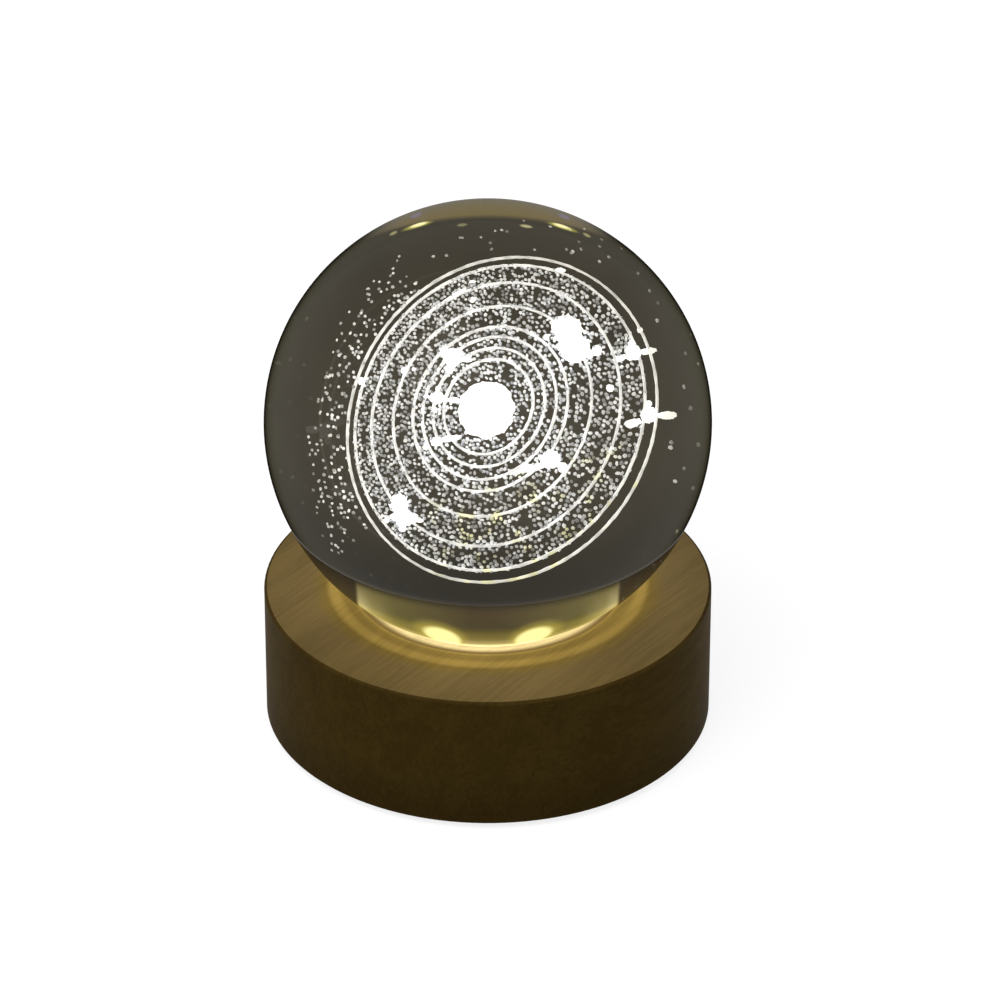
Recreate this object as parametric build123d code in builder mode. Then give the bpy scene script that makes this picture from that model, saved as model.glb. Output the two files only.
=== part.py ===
from build123d import *
import math
import os

os.makedirs("parts", exist_ok=True)

# Crystal ball lamp: a glass ball on a turned wooden base, lit from below.
# Millimetres, +Z up, origin under the centre of the base, front towards -Y.

# Overall sizes
ball_radius = 40.0
ball_sink = 6.6
base_overhang = 0.6
base_lift = 1.0
base_top_edge_radius = 0.5
base_bottom_edge_chamfer = 0.4

# Ball seat: a cone tangent to the ball along one circle under the top face, and a lip flared around it
seat_contact_depth = 1.75
seat_lip_depth = 1.15
seat_width = 1.5
lip_width = 5.4
ball_seat_clearance = 0.15

# Light well and window
ledge_width = 2.1
neck_height = 2.1
window_clearance = 0.15
window_thickness = 2.0
ball_window_gap = 2.5

# Cover recess, cavity and rear pocket
rim_wall = 3.1
cover_ledge_width = 8.5
cover_recess_depth = 2.2
cavity_height = 10.2
rear_wall = 2.8
spot_face_depth = 1.9
pocket_clearance = 0.3
pocket_corner_radius = 1.0

# Cover, its screws and the feet
cover_clearance = 0.2
cover_thickness = 2.0
cover_edge_chamfer = 0.4
cover_screw_count = 4
cover_screw_start_angle = 45.0
cover_screw_head_radius = 2.4
cover_screw_head_height = 1.4
cover_screw_radius = 1.3
cover_screw_length = 9.0
cover_screw_tip = 1.4
cover_hole_radius = 1.5
cover_pilot_radius = 1.1
foot_radius = 5.0
foot_inset = 9.8
foot_count = 4
foot_edge_chamfer = 0.3

# LED board
led_board_overlap = 6.9
led_board_thickness = 1.6
led_circle_share = 0.58
led_count = 6
led_length = 3.5
led_width = 2.8
led_height = 0.8
phosphor_radius = 1.15
phosphor_depth = 0.3
board_screw_inset = 2.1
board_screw_count = 3
board_screw_start_angle = 30.0
board_screw_head_radius = 1.8
board_screw_head_height = 1.2
board_screw_radius = 0.9
board_screw_reach = 5.4
board_hole_radius = 1.05
board_pilot_radius = 0.75

# Control board and what it carries
boards_gap = 0.6
parts_gap = 0.3
control_board_margin = 0.53
control_board_thickness = 1.2
control_screw_side_inset = 2.1
control_screw_front_inset = 1.95
control_screw_gap = 1.1
chip_inlet_gap = 0.45
chip_width = 3.9
chip_length = 4.4
chip_height = 1.4
resistor_pitch = 1.5
resistor_count = 2
resistor_length = 1.6
resistor_width = 0.8
resistor_height = 0.5
capacitor_back_inset = 4.6
capacitor_radius = 1.3
capacitor_height = 4.6

# USB inlet
usb_width = 8.94
usb_height = 3.26
usb_depth = 7.35
usb_wall = 0.3
usb_corner_radius = 1.3
usb_slot_clearance = 0.28
usb_spot_width = 12.6
usb_spot_height = 7.4
tongue_width = 6.7
tongue_thickness = 0.7
tongue_length = 4.3
insulator_length = 1.4

# Power button
button_radius = 2.4
button_bore_clearance = 0.15
button_protrusion = 1.5
button_flange_radius = 2.9
flange_bore_clearance = 0.15
button_flange_thickness = 1.0
button_stop_gap = 0.05
button_edge_radius = 0.5
button_travel = 1.5
button_spot_radius = 3.6
switch_side = 7.0
switch_depth = 9.0
switch_gap = 0.2
plunger_radius = 1.3
plunger_bore_clearance = 0.2
plunger_inside = 3.4
plunger_seat = 0.3

# Wires between the boards
wire_radius = 0.65
wire_half_pitch = 1.1
wire_board_inset = 2.2
wire_led_inset = 1.8
wire_drop = 3.6
wire_bend_radius = 1.8

# Engraved solar system, a flat disc near the middle of the ball
disc_right_of_centre = -0.31
disc_behind_centre = 1.56
disc_above_centre = 1.07
disc_facing = (0.428, -0.877, 0.217)
orbit_radius_max = 20.45
orbit_line = 0.24
sun_radius_share = 0.176
orbit_shares = (0.2856, 0.357, 0.4284, 0.4958, 0.6362, 0.801, 0.9345, 1.0)
planet_angles = (157.0, -150.0, 112.0, -52.0, 27.4, -140.7, 6.0, -15.8)
planet_radius_share = 0.12
planet_shares = (0.33, 0.35, 0.43, 0.43, 1.0, 0.59, 0.47, 0.47)
streak_length_share = 0.1076
streak_height_share = 0.0342
streak_reach_shares = ((0.41, -0.05), (0.77, 0.14), (0.64, -0.41), (-1.0, -0.18), (1.27, -0.91),
                       (1.0, -0.23), (0.82, -0.18), (1.0, -0.14))

# Heights, stacked from the feet up to the ball
base_radius = ball_radius + base_overhang
base_bottom_z = base_lift
recess_top_z = base_bottom_z + cover_recess_depth
cover_bottom_z = recess_top_z - cover_thickness
ceiling_z = recess_top_z + cavity_height
ledge_z = ceiling_z + neck_height
ball_centre_z = ledge_z + window_thickness + ball_window_gap + ball_radius
ball_centre_above_top = ball_radius - ball_sink
base_top_z = ball_centre_z - ball_centre_above_top

# Seat, lip, well and window, all from the circle where the ball rests
contact_below_centre = ball_centre_above_top + seat_contact_depth
contact_radius = math.sqrt(ball_radius ** 2 - contact_below_centre ** 2)
seat_angle = math.asin(contact_radius / ball_radius)
well_radius = contact_radius - seat_width
lip_radius = contact_radius + lip_width
seat_touch_radius = contact_radius + ball_seat_clearance * math.sin(seat_angle)
seat_touch_z = base_top_z - seat_contact_depth - ball_seat_clearance * math.cos(seat_angle)
seat_foot_z = seat_touch_z - (seat_touch_radius - well_radius) * math.tan(seat_angle)
seat_lip_z = base_top_z - seat_lip_depth
seat_lip_radius = seat_touch_radius + (seat_lip_z - seat_touch_z) / math.tan(seat_angle)
window_radius = well_radius - window_clearance
neck_radius = well_radius - ledge_width

# Cover recess, cavity, cover screws and feet, inwards from the outside
cover_recess_radius = base_radius - rim_wall
cover_radius = cover_recess_radius - cover_clearance
cavity_radius = cover_recess_radius - cover_ledge_width
cover_screw_circle_radius = (cavity_radius + cover_recess_radius) / 2
foot_circle_radius = cover_radius - foot_inset

# Row along the rear wall: inlet, capacitor and switch side by side
row_half_width = (usb_width + 2 * capacitor_radius + switch_side) / 2 + parts_gap
usb_x = usb_width / 2 - row_half_width
button_x = row_half_width - switch_side / 2
capacitor_x = usb_x + usb_width / 2 + parts_gap + capacitor_radius
control_board_half_width = row_half_width + control_board_margin
pocket_half_width = control_board_half_width + pocket_clearance

# Depths, from the rear wall inwards
spot_face_y = base_radius - spot_face_depth
pocket_back_y = spot_face_y - rear_wall
control_board_back_y = pocket_back_y - pocket_clearance
capacitor_y = control_board_back_y - capacitor_back_inset
usb_back_y = spot_face_y - usb_depth
chip_x = usb_x
chip_y = usb_back_y - chip_inlet_gap - chip_length / 2
resistor_x = chip_x + chip_width / 2 + parts_gap + resistor_length / 2
switch_back_y = pocket_back_y - button_stop_gap
flange_back_y = switch_back_y - button_flange_thickness
plunger_seat_y = flange_back_y - button_travel - switch_gap
button_front_y = spot_face_y + button_protrusion
control_screw_x = control_board_half_width - control_screw_side_inset
control_screw_y = switch_back_y - switch_depth - control_screw_gap - board_screw_head_radius
control_board_front_y = control_screw_y - control_screw_front_inset

# LED board, cut straight where the control board begins
led_board_radius = neck_radius + led_board_overlap
led_board_cut_y = min(control_board_front_y - boards_gap, led_board_radius)
led_circle_radius = neck_radius * led_circle_share
board_screw_circle_radius = led_board_radius - board_screw_inset
wire_led_y = led_board_cut_y - wire_led_inset
wire_board_y = control_board_front_y + wire_board_inset

# Heights of what hangs from the ceiling
led_board_bottom_z = ceiling_z - led_board_thickness
control_board_bottom_z = ceiling_z - control_board_thickness
usb_z = control_board_bottom_z - usb_height / 2
button_z = control_board_bottom_z - switch_side / 2
wire_drop_z = control_board_bottom_z - wire_drop

# Engraving
sun_radius = orbit_radius_max * sun_radius_share
planet_radius_max = orbit_radius_max * planet_radius_share
streak_length = orbit_radius_max * streak_length_share
streak_height = orbit_radius_max * streak_height_share
disc_plane = Plane(
    origin=(disc_right_of_centre, disc_behind_centre, ball_centre_z + disc_above_centre),
    x_dir=(-disc_facing[1], disc_facing[0], 0),
    z_dir=disc_facing,
)


def rear_plane(y):
    """Plane across Y at the given depth; its sketches use X to the left and Z up, facing the rear."""
    return Plane(origin=(0, y, 0), x_dir=(-1, 0, 0), z_dir=(0, 1, 0))


def save(part, name):
    part.label = name
    export_step(part, "parts/" + name + ".step")


# Glass ball
with BuildPart() as crystal_ball:
    with Locations((0, 0, ball_centre_z)):
        Sphere(ball_radius)
save(crystal_ball.part, "crystal_ball")

# Engraved sun
with BuildPart() as engraved_sun:
    with Locations(disc_plane):
        Sphere(sun_radius)
save(engraved_sun.part, "engraved_sun")

# Engraved orbits, one thin flat ring each
with BuildPart() as engraved_orbits:
    for share in orbit_shares:
        with BuildSketch(disc_plane):
            Circle(orbit_radius_max * share + orbit_line / 2)
            Circle(orbit_radius_max * share - orbit_line / 2, mode=Mode.SUBTRACT)
        extrude(amount=orbit_line / 2, both=True)
save(engraved_orbits.part, "engraved_orbits")

# Engraved planets, one on each orbit
planet_spots = []
for share, angle in zip(orbit_shares, planet_angles):
    reach = orbit_radius_max * share
    turn = math.radians(angle)
    planet_spots.append((reach * math.cos(turn), reach * math.sin(turn)))

with BuildPart() as engraved_planets:
    for spot, share in zip(planet_spots, planet_shares):
        with Locations(disc_plane):
            with Locations(spot):
                Sphere(planet_radius_max * share)
save(engraved_planets.part, "engraved_planets")

# Engraved streaks beside the planets
with BuildPart() as engraved_streaks:
    for spot, reach in zip(planet_spots, streak_reach_shares):
        with BuildSketch(disc_plane):
            with Locations((spot[0] + streak_length * reach[0], spot[1] + streak_length * reach[1])):
                SlotOverall(streak_length, streak_height)
        extrude(amount=streak_height / 2, both=True)
save(engraved_streaks.part, "engraved_streaks")

# Turned wooden base: seat cone, light well, window ledge, neck, cavity and cover recess
with BuildPart() as wooden_base:
    with BuildSketch(Plane.XZ) as base_profile:
        with BuildLine():
            Polyline(
                (base_radius, base_bottom_z),
                (base_radius, base_top_z),
                (lip_radius, base_top_z),
                (seat_lip_radius, seat_lip_z),
                (well_radius, seat_foot_z),
                (well_radius, ledge_z),
                (neck_radius, ledge_z),
                (neck_radius, ceiling_z),
                (cavity_radius, ceiling_z),
                (cavity_radius, recess_top_z),
                (cover_recess_radius, recess_top_z),
                (cover_recess_radius, base_bottom_z),
                close=True,
            )
        make_face()
        outer_corners = base_profile.vertices().group_by(Axis.X)[-1].sort_by(Axis.Y)
        chamfer(outer_corners[0], base_bottom_edge_chamfer)
        outer_corners = base_profile.vertices().group_by(Axis.X)[-1].sort_by(Axis.Y)
        fillet(outer_corners[-1], base_top_edge_radius)
    revolve(axis=Axis.Z)

    # Rear pocket for the control board, milled from below
    with BuildSketch(Plane.XY.offset(recess_top_z)):
        with Locations((0, pocket_back_y / 2)):
            RectangleRounded(2 * pocket_half_width, pocket_back_y, pocket_corner_radius)
        Circle(led_board_radius, mode=Mode.SUBTRACT)
    extrude(amount=ceiling_z - recess_top_z, mode=Mode.SUBTRACT)

    # Spot faces on the round rear wall, one for the plug and one for the button
    with BuildSketch(rear_plane(spot_face_y)):
        with Locations((-usb_x, usb_z)):
            RectangleRounded(usb_spot_width, usb_spot_height, usb_corner_radius)
        with Locations((-button_x, button_z)):
            Circle(button_spot_radius)
    extrude(amount=spot_face_depth, mode=Mode.SUBTRACT)

    # Inlet slot and button bore through the rear wall
    with BuildSketch(rear_plane(pocket_back_y - pocket_corner_radius)):
        with Locations((-usb_x, usb_z)):
            RectangleRounded(
                usb_width + 2 * usb_slot_clearance,
                usb_height + 2 * usb_slot_clearance,
                usb_corner_radius + usb_slot_clearance,
            )
        with Locations((-button_x, button_z)):
            Circle(button_radius + button_bore_clearance)
    extrude(amount=spot_face_y - pocket_back_y + pocket_corner_radius, mode=Mode.SUBTRACT)

    # Pilot holes for the three kinds of screw
    with BuildSketch(Plane.XY.offset(recess_top_z)):
        with PolarLocations(cover_screw_circle_radius, cover_screw_count, cover_screw_start_angle):
            Circle(cover_pilot_radius)
    extrude(amount=cover_screw_length - cover_thickness, mode=Mode.SUBTRACT)
    with BuildSketch(Plane.XY.offset(ceiling_z)):
        with PolarLocations(board_screw_circle_radius, board_screw_count, board_screw_start_angle):
            Circle(board_pilot_radius)
        with Locations((-control_screw_x, control_screw_y), (control_screw_x, control_screw_y)):
            Circle(board_pilot_radius)
    extrude(amount=board_screw_reach, mode=Mode.SUBTRACT)
save(wooden_base.part, "wooden_base")

# Clear window on its ledge
with BuildPart() as clear_window:
    with BuildSketch(Plane.XY.offset(ledge_z)):
        Circle(window_radius)
    extrude(amount=window_thickness)
save(clear_window.part, "clear_window")

# LED board against the cavity ceiling
with BuildPart() as led_board:
    with BuildSketch(Plane.XY.offset(led_board_bottom_z)):
        Circle(led_board_radius)
        with Locations((0, led_board_cut_y + led_board_radius)):
            Rectangle(2 * led_board_radius, 2 * led_board_radius, mode=Mode.SUBTRACT)
        with PolarLocations(board_screw_circle_radius, board_screw_count, board_screw_start_angle):
            Circle(board_hole_radius, mode=Mode.SUBTRACT)
    extrude(amount=led_board_thickness)
save(led_board.part, "led_board")

# LED packages, each with a round cup
with BuildPart() as led_packages:
    with BuildSketch(Plane.XY.offset(ceiling_z)):
        with PolarLocations(led_circle_radius, led_count):
            Rectangle(led_length, led_width)
    extrude(amount=led_height)
    with BuildSketch(Plane.XY.offset(ceiling_z + led_height - phosphor_depth)):
        with PolarLocations(led_circle_radius, led_count):
            Circle(phosphor_radius)
    extrude(amount=phosphor_depth, mode=Mode.SUBTRACT)
save(led_packages.part, "led_packages")

# Phosphor discs that fill the cups
with BuildPart() as led_phosphors:
    with BuildSketch(Plane.XY.offset(ceiling_z + led_height - phosphor_depth)):
        with PolarLocations(led_circle_radius, led_count):
            Circle(phosphor_radius)
    extrude(amount=phosphor_depth)
save(led_phosphors.part, "led_phosphors")


def board_screw(bottom_z, shank_end_z):
    """One pan-head board screw, head down, on the Z axis."""
    head = Plane.XY.offset(bottom_z) * Circle(board_screw_head_radius)
    shank = Plane.XY.offset(bottom_z) * Circle(board_screw_radius)
    solid_head = extrude(head, amount=board_screw_head_height)
    return solid_head + extrude(shank, amount=shank_end_z - bottom_z)


# Screws of the LED board
led_board_screw = board_screw(led_board_bottom_z - board_screw_head_height, ceiling_z + board_screw_reach)
with BuildPart() as led_board_screws:
    with PolarLocations(board_screw_circle_radius, board_screw_count, board_screw_start_angle):
        add(led_board_screw)
save(led_board_screws.part, "led_board_screws")

# Control board against the ceiling of the rear pocket
with BuildPart() as control_board:
    with BuildSketch(Plane.XY.offset(control_board_bottom_z)):
        with Locations((0, (control_board_front_y + control_board_back_y) / 2)):
            Rectangle(2 * control_board_half_width, control_board_back_y - control_board_front_y)
        with Locations((-control_screw_x, control_screw_y), (control_screw_x, control_screw_y)):
            Circle(board_hole_radius, mode=Mode.SUBTRACT)
    extrude(amount=control_board_thickness)
save(control_board.part, "control_board")

# Screws of the control board
control_screw = board_screw(control_board_bottom_z - board_screw_head_height, ceiling_z + board_screw_reach)
with BuildPart() as control_board_screws:
    with Locations((-control_screw_x, control_screw_y), (control_screw_x, control_screw_y)):
        add(control_screw)
save(control_board_screws.part, "control_board_screws")

# Driver chip
with BuildPart() as driver_chip:
    with BuildSketch(Plane.XY.offset(control_board_bottom_z)):
        with Locations((chip_x, chip_y)):
            Rectangle(chip_width, chip_length)
    extrude(amount=-chip_height)
save(driver_chip.part, "driver_chip")

# Current resistors
with BuildPart() as current_resistors:
    with BuildSketch(Plane.XY.offset(control_board_bottom_z)):
        with Locations((resistor_x, chip_y)):
            with GridLocations(resistor_pitch, resistor_pitch, 1, resistor_count):
                Rectangle(resistor_length, resistor_width)
    extrude(amount=-resistor_height)
save(current_resistors.part, "current_resistors")

# Storage capacitor
with BuildPart() as storage_capacitor:
    with BuildSketch(Plane.XY.offset(control_board_bottom_z)):
        with Locations((capacitor_x, capacitor_y)):
            Circle(capacitor_radius)
    extrude(amount=-capacitor_height)
save(storage_capacitor.part, "storage_capacitor")

# USB shell: thin rounded tube, closed at the back, mouth at the spot face
with BuildPart() as usb_shell:
    with BuildSketch(rear_plane(usb_back_y)):
        with Locations((-usb_x, usb_z)):
            RectangleRounded(usb_width, usb_height, usb_corner_radius)
    extrude(amount=usb_depth)
    with BuildSketch(rear_plane(usb_back_y + usb_wall)):
        with Locations((-usb_x, usb_z)):
            RectangleRounded(
                usb_width - 2 * usb_wall, usb_height - 2 * usb_wall, usb_corner_radius - usb_wall
            )
    extrude(amount=usb_depth - usb_wall, mode=Mode.SUBTRACT)
save(usb_shell.part, "usb_shell")

# USB insulator block and contact tongue
with BuildPart() as usb_tongue:
    with BuildSketch(rear_plane(usb_back_y + usb_wall)):
        with Locations((-usb_x, usb_z)):
            RectangleRounded(
                usb_width - 2 * usb_wall, usb_height - 2 * usb_wall, usb_corner_radius - usb_wall
            )
    extrude(amount=insulator_length)
    with BuildSketch(rear_plane(usb_back_y + usb_wall + insulator_length)):
        with Locations((-usb_x, usb_z)):
            Rectangle(tongue_width, tongue_thickness)
    extrude(amount=tongue_length)
save(usb_tongue.part, "usb_tongue")

# Switch housing: room for the cap's flange, and behind it the plunger's bore
with BuildPart() as switch_body:
    with BuildSketch(rear_plane(switch_back_y)):
        with Locations((-button_x, button_z)):
            Rectangle(switch_side, switch_side)
    extrude(amount=-switch_depth)
    with BuildSketch(rear_plane(switch_back_y)):
        with Locations((-button_x, button_z)):
            Circle(button_flange_radius + flange_bore_clearance)
    extrude(amount=plunger_seat_y - switch_back_y, mode=Mode.SUBTRACT)
    with BuildSketch(rear_plane(plunger_seat_y)):
        with Locations((-button_x, button_z)):
            Circle(plunger_radius + plunger_bore_clearance)
    extrude(amount=-(plunger_inside + button_travel + switch_gap), mode=Mode.SUBTRACT)
save(switch_body.part, "switch_body")

# Plunger, which moves with the button
with BuildPart() as switch_plunger:
    with BuildSketch(rear_plane(plunger_seat_y - plunger_inside)):
        with Locations((-button_x, button_z)):
            Circle(plunger_radius)
    extrude(amount=flange_back_y + plunger_seat - plunger_seat_y + plunger_inside)
save(switch_plunger.part, "switch_plunger")

# Button cap with its retaining flange and the socket for the plunger
with BuildPart() as button_cap:
    with BuildSketch(rear_plane(flange_back_y)):
        with Locations((-button_x, button_z)):
            Circle(button_radius)
    extrude(amount=button_front_y - flange_back_y)
    fillet(button_cap.faces().sort_by(Axis.Y)[-1].edges(), button_edge_radius)
    with BuildSketch(rear_plane(flange_back_y)):
        with Locations((-button_x, button_z)):
            Circle(button_flange_radius)
    extrude(amount=button_flange_thickness)
    with BuildSketch(rear_plane(flange_back_y)):
        with Locations((-button_x, button_z)):
            Circle(plunger_radius)
    extrude(amount=plunger_seat, mode=Mode.SUBTRACT)
save(button_cap.part, "button_cap")


def lead(side):
    """One wire from the control board down, across and up to the LED board."""
    x = side * wire_half_pitch
    path = FilletPolyline(
        (x, wire_board_y, control_board_bottom_z),
        (x, wire_board_y, wire_drop_z),
        (x, wire_led_y, wire_drop_z),
        (x, wire_led_y, led_board_bottom_z),
        radius=wire_bend_radius,
    )
    section = Plane(origin=path @ 0, z_dir=path % 0) * Circle(wire_radius)
    return sweep(section, path=path)


# Wires
red_wire = lead(-1)
save(red_wire, "red_wire")
black_wire = lead(1)
save(black_wire, "black_wire")

# Bottom cover with countersunk screw holes
with BuildPart() as bottom_cover:
    with BuildSketch(Plane.XY.offset(cover_bottom_z)):
        Circle(cover_radius)
        with PolarLocations(cover_screw_circle_radius, cover_screw_count, cover_screw_start_angle):
            Circle(cover_hole_radius, mode=Mode.SUBTRACT)
    extrude(amount=cover_thickness)
    chamfer(bottom_cover.edges().group_by(Axis.Z)[0].sort_by(SortBy.RADIUS)[-1], cover_edge_chamfer)
    with PolarLocations(cover_screw_circle_radius, cover_screw_count, cover_screw_start_angle):
        with Locations((0, 0, cover_bottom_z)):
            Cone(
                cover_screw_head_radius,
                cover_screw_radius,
                cover_screw_head_height,
                align=(Align.CENTER, Align.CENTER, Align.MIN),
                mode=Mode.SUBTRACT,
            )
save(bottom_cover.part, "bottom_cover")

# Cover screws: countersunk head, shank and pointed end
with BuildPart() as cover_screw:
    with BuildSketch(Plane.XZ):
        with BuildLine():
            Polyline(
                (0, cover_bottom_z),
                (cover_screw_head_radius, cover_bottom_z),
                (cover_screw_radius, cover_bottom_z + cover_screw_head_height),
                (cover_screw_radius, cover_bottom_z + cover_screw_length - cover_screw_tip),
                (0, cover_bottom_z + cover_screw_length),
                close=True,
            )
        make_face()
    revolve(axis=Axis.Z)
with BuildPart() as cover_screws:
    with PolarLocations(cover_screw_circle_radius, cover_screw_count, cover_screw_start_angle):
        add(cover_screw.part)
save(cover_screws.part, "cover_screws")

# Rubber feet under the cover
with BuildPart() as rubber_feet:
    with BuildSketch(Plane.XY):
        with PolarLocations(foot_circle_radius, foot_count):
            Circle(foot_radius)
    extrude(amount=cover_bottom_z)
    chamfer(rubber_feet.edges().group_by(Axis.Z)[0], foot_edge_chamfer)
save(rubber_feet.part, "rubber_feet")
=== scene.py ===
"""Looks of a crystal ball lamp: a glass ball with an engraved solar system on a turned wooden base."""

import math

import bmesh
import bpy
from bpy.props import FloatProperty, FloatVectorProperty, IntProperty, PointerProperty
from mathutils import Matrix, Vector, noise


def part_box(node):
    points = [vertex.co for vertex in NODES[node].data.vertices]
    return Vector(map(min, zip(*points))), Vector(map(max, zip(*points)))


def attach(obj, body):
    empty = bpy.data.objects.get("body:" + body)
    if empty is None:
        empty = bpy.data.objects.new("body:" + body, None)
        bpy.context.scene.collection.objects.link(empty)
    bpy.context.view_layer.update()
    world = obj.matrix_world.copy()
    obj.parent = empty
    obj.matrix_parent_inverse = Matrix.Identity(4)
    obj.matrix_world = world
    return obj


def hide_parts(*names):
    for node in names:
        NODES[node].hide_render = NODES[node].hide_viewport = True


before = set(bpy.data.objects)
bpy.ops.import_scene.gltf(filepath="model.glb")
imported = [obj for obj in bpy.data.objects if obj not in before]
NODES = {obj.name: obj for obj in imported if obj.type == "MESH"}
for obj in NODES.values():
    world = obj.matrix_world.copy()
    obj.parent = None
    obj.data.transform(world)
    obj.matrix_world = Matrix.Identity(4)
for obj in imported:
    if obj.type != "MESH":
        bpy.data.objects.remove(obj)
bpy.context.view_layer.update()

bl_info = {
    "name": "Crystal Ball Lamp",
    "version": (1, 0, 0),
    "blender": (4, 5, 0),
    "location": "3D View > Sidebar > Crystal Lamp",
    "description": "Dresses a crystal ball lamp with glass, engraving, wood and electronics",
    "category": "Object",
}

MM = 0.001
ENGRAVING = "engraved_points"


def drift(share):
    """Offset of an orbit's centre on the disc: the inner orbits sit a little to the upper right."""
    return Vector((0.40, 0.28)) * MM * (1.0 - share)


def middle(node):
    """Centre of a CAD node's box."""
    low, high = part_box(node)
    return (low + high) / 2


BALL_CENTRE = middle("crystal_ball")
BALL_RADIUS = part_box("crystal_ball")[1].x
BASE_LOW, BASE_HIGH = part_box("wooden_base")
BASE_RADIUS = BASE_HIGH.x
DISC_CENTRE = middle("engraved_sun")
SUN_RADIUS = (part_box("engraved_sun")[1].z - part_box("engraved_sun")[0].z) / 2

# The engraved disc: its facing, and the places on it as shares of the widest orbit
DISC_FACING = Vector((0.428, -0.877, 0.217)).normalized()
DISC_RIGHT = Vector((-DISC_FACING.y, DISC_FACING.x, 0.0)).normalized()
DISC_UP = DISC_FACING.cross(DISC_RIGHT)
DISC_TURN = Matrix((DISC_RIGHT, DISC_UP, DISC_FACING)).transposed().to_4x4()
DISC_MATRIX = Matrix.Translation(DISC_CENTRE) @ DISC_TURN
ORBIT_REACH = 20.45 * MM
ORBIT_SHARES = (0.2856, 0.357, 0.4284, 0.4958, 0.6362, 0.801, 0.9345, 1.0)
PLANET_ANGLES = (157.0, -150.0, 112.0, -52.0, 27.4, -140.7, 6.0, -15.8)

# The painted gold glow on the ball's crown: where it starts, and the plane behind which it fades
CROWN_AXIS = (0.0, 0.8326, 0.5536)
CROWN_BACK = (0.0, -0.861, 0.509)


# Sizes and colours a user may change


def tone(name, description, default):
    """A colour that a user may change."""
    return FloatVectorProperty(name=name, description=description, subtype="COLOR", default=default)


def span(name, description, millimetres):
    """A length that a user may change."""
    return FloatProperty(name=name, description=description, unit="LENGTH", default=millimetres * MM)


class LampBall(bpy.types.PropertyGroup):
    """Glass of the ball."""

    divisions: IntProperty(name="Divisions", default=96,
                           description="Quads along each side of the ball's six faces")
    ior: FloatProperty(name="IOR", description="Index of refraction of the glass", default=1.5)
    # Painted shade: the glass's dark tint, and the coat colour that deepens toward the outline, stand in for
    # dark surroundings in a clear ball
    tint: tone("Tint", "Colour of what shows through the ball", (0.042, 0.038, 0.030))
    sheen_tint: tone("Reflection tint", "Colour of what the surface mirrors", (0.25, 0.24, 0.22))
    edge_shade_tint: tone("Edge tint", "Colour that deepens toward the ball's outline", (0.67, 0.66, 0.62))
    # Painted light: the haze, crown glow, lamp images and glints are glow painted on the glass where the lit
    # base and the lights show through it
    haze: tone("Haze", "Faint light that the lit glass gives off", (0.055, 0.047, 0.035))
    crown_glow: tone("Crown glow", "Warm light gathered under the crown", (0.26, 0.185, 0.035))
    lamp_image: tone("Lamp image", "Colour of the lights' images low in the ball", (1.05, 0.97, 0.38))
    glint: tone("Glint", "Colour of the small glints beside the crown", (1.0, 0.95, 0.55))


class LampEngraving(bpy.types.PropertyGroup):
    """Points and lines burnt into the glass."""

    line_radius: span("Line radius", "Half the width of an orbit line", 0.165)
    dot_radius: span("Dot radius", "Radius of an ordinary dot", 0.20)
    dot_spacing: span("Dot spacing", "Least distance between two dots", 0.43)
    star_radius: span("Star radius", "Radius of an ordinary star", 0.26)
    star_count: IntProperty(name="Stars", description="Stars on the left of the disc", default=245)
    seed: IntProperty(name="Seed", description="Choice of random places", default=7)
    brightness: FloatProperty(name="Brightness", description="Light given off by the engraving", default=11.0)
    white: tone("White", "Colour of the engraving", (0.86, 0.90, 1.0))
    cream: tone("Cream", "Colour of the warmer dots low in the disc", (0.90, 0.92, 0.68))


class LampWood(bpy.types.PropertyGroup):
    """Turned base and the light on it."""

    dark: tone("Dark grain", "Colour of the dark grain", (0.049, 0.0295, 0.0054))
    light: tone("Light grain", "Colour of the light grain", (0.062, 0.0385, 0.0078))
    glow_rim: tone("Rim glow", "Lamp light on the top near the outer edge", (0.098, 0.069, 0.028))
    glow_ring: tone("Ring glow", "Lamp light on the top beside the ball", (0.205, 0.137, 0.032))
    glow_lip: tone("Lip glow", "Lamp light on the lip under the ball", (0.17, 0.115, 0.035))
    glow_well: tone("Well glow", "Lamp light in the seat and the well", (1.0, 0.78, 0.36))


class LampHardware(bpy.types.PropertyGroup):
    """Lights, boards, screws, inlet and button."""

    lamp_strength: FloatProperty(name="LED strength", default=9.0,
                                 description="Light given off by the phosphor discs")
    recess_depth: span("Recess depth", "Depth of the cross recess in a screw head", 0.7)
    contact_count: IntProperty(name="Contacts", description="Contacts on each face of the inlet's tongue",
                               default=8)


class LampStage(bpy.types.PropertyGroup):
    """Camera, floor and lamps of the studio."""

    elevation: FloatProperty(name="Elevation", description="How far the camera looks down",
                             subtype="ANGLE", default=math.radians(30.62))
    distance: span("Distance", "Camera to the aim point", 1000.0)
    aim_height: span("Aim height", "Height of the aim point", 50.03)
    lens: FloatProperty(name="Lens", description="Focal length in millimetres", default=200.65)
    shift_x: FloatProperty(name="Shift X", description="Sideways shift of the frame", default=0.0122)
    shift_y: FloatProperty(name="Shift Y", description="Upward shift of the frame", default=-0.0294)
    floor_size: span("Floor size", "Side of the floor", 4000.0)
    ambient: FloatProperty(name="Ambient", description="Strength of the light from all around", default=0.55)
    key_power: FloatProperty(name="Key power", description="Power of the large soft lamp", unit="POWER",
                             default=5.0)


GROUPS = {
    "lamp_ball": LampBall,
    "lamp_engraving": LampEngraving,
    "lamp_wood": LampWood,
    "lamp_hardware": LampHardware,
    "lamp_stage": LampStage,
}


# Small helpers for node trees


def rgba(colour):
    """A colour or a grey value as four numbers."""
    if isinstance(colour, (int, float)):
        colour = (colour, colour, colour)
    return (*tuple(colour)[:3], 1.0)


def is_socket(value):
    """Whether a value comes from another node."""
    return isinstance(value, bpy.types.NodeSocket)


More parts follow.
